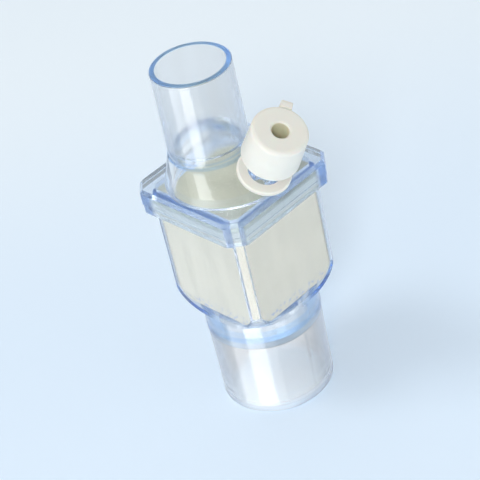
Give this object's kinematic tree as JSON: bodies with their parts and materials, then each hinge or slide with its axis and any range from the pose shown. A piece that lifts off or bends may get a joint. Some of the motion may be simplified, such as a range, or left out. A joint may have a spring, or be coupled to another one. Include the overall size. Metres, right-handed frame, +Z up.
{
  "type": "heat and moisture exchanger",
  "caption": "Clear breathing-circuit filter housing with exchange media, an offset 15 mm port, a 22 mm port and a tethered luer cap on a sampling port.",
  "frame": {"origin": "on the lower port's axis, in the plane of its open end", "axes": "+Z up through the chamber to the upper port, -X towards the offset upper port, +X towards the sampling port"},
  "size_m": [0.0336, 0.027, 0.072],
  "materials": {
    "clear_housing": "clear, smooth, faint blue in thick sections",
    "clear_lid": "clear, smooth, faint blue in thick sections",
    "media": "matt cream, finely porous",
    "white_cap": "warm white, satin"
  },
  "bodies": {
    "housing": {"lower_housing": "clear_housing", "lid": "clear_lid", "exchange_media": "media"},
    "tether": {"tether_ring": "white_cap", "cap_strap": "white_cap"},
    "cap": {"luer_cap": "white_cap"}
  },
  "joints": [
    {"name": "tether_swivel", "type": "hinge", "parent": "housing", "child": "tether", "pos_m": [0.0092, 0, 0.05331], "axis": [0.515, 0, 0.8572], "range_deg": [-270, 25]},
    {"name": "cap_pull", "type": "slide", "parent": "tether", "child": "cap", "axis": [0.515, 0, 0.8572], "range_m": [0, 0.0065], "deforming": ["cap_strap"]}
  ]
}
